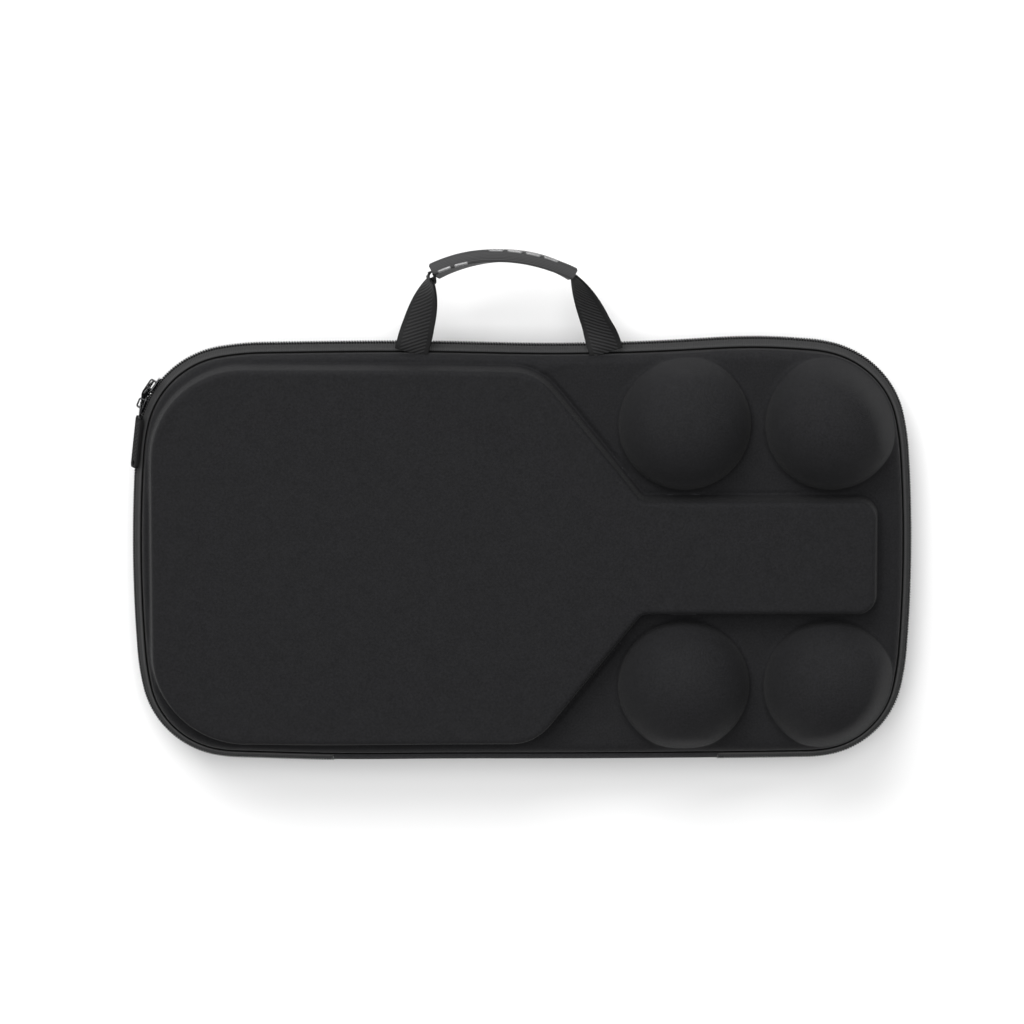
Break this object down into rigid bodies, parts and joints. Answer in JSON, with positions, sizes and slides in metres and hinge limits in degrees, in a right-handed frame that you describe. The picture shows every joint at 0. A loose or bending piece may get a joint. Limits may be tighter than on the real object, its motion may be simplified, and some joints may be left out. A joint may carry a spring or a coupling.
{
  "type": "paddle case",
  "caption": "Zipped moulded clamshell case for paddles and balls, with a paddle-shaped mould and ball domes on its front, and a webbing carry handle.",
  "frame": {"origin": "centre of the flat back face the case lies on", "axes": "+X towards the paddle-handle end, +Y towards the carry handle, +Z out of the moulded front"},
  "size_m": [0.4615, 0.3058, 0.0802],
  "materials": {
    "shell_cloth": "fine woven polyester over moulded foam",
    "lining_cloth": "brushed knit",
    "zip_tape": "ribbed woven tape",
    "zip_coil": "satin nylon",
    "spine_cloth": "woven",
    "binding": "grosgrain tape",
    "slider_metal": "gunmetal",
    "net": "mesh",
    "elastic": "ribbed elastic",
    "webbing": "twill webbing",
    "grip": "fine lengthwise ribs",
    "pull_tab": "matt, knurled"
  },
  "bodies": {
    "base": {"back_shell": "shell_cloth", "back_lining": "lining_cloth", "back_binding": "binding", "back_zip_tape": "zip_tape", "back_zip_coil": "zip_coil", "back_spine": "spine_cloth", "zip_stops": "slider_metal", "paddle_strap": "elastic", "strap_patches": "binding"},
    "lid": {"front_shell": "shell_cloth", "front_lining": "lining_cloth", "front_binding": "binding", "front_zip_tape": "zip_tape", "front_zip_coil": "zip_coil", "front_spine": "spine_cloth", "upper_ball_net": "net", "lower_ball_net": "net", "upper_net_hem": "elastic", "lower_net_hem": "elastic"},
    "handle": {"handle_webbing": "webbing", "handle_grip": "grip"},
    "lower_slider": {"lower_slider": "slider_metal"},
    "upper_slider": {"upper_slider": "slider_metal"},
    "lower_pull": {"lower_pull_link": "slider_metal", "lower_pull_tab": "pull_tab"},
    "upper_pull": {"upper_pull_link": "slider_metal", "upper_pull_tab": "pull_tab"}
  },
  "joints": [
    {"name": "lid_hinge", "type": "hinge", "parent": "base", "child": "lid", "pos_m": [0, -0.1258, 0.03], "axis": [1, 0, 0], "range_deg": [0, 150]},
    {"name": "handle_swing", "type": "hinge", "parent": "lid", "child": "handle", "pos_m": [0, 0.1219, 0.0416], "axis": [1, 0, 0], "range_deg": [-25, 100]},
    {"name": "lower_slider_travel", "type": "hinge", "parent": "base", "child": "lower_slider", "pos_m": [-0.16808, 0.06408, 0.03], "axis": [0, 0, 1], "range_deg": [0, 3]},
    {"name": "upper_slider_travel", "type": "hinge", "parent": "base", "child": "upper_slider", "pos_m": [-0.16808, 0.06408, 0.03], "axis": [0, 0, 1], "range_deg": [-40, 0]},
    {"name": "lower_pull_swing", "type": "hinge", "parent": "lower_slider", "child": "lower_pull", "pos_m": [-0.22432, 0.08795, 0.03], "axis": [0, 0, 1], "range_deg": [-130, 0]},
    {"name": "upper_pull_swing", "type": "hinge", "parent": "upper_slider", "child": "upper_pull", "pos_m": [-0.21813, 0.09912, 0.03], "axis": [-0.4056, -0.5792, 0.7071], "range_deg": [-130, 0]}
  ]
}
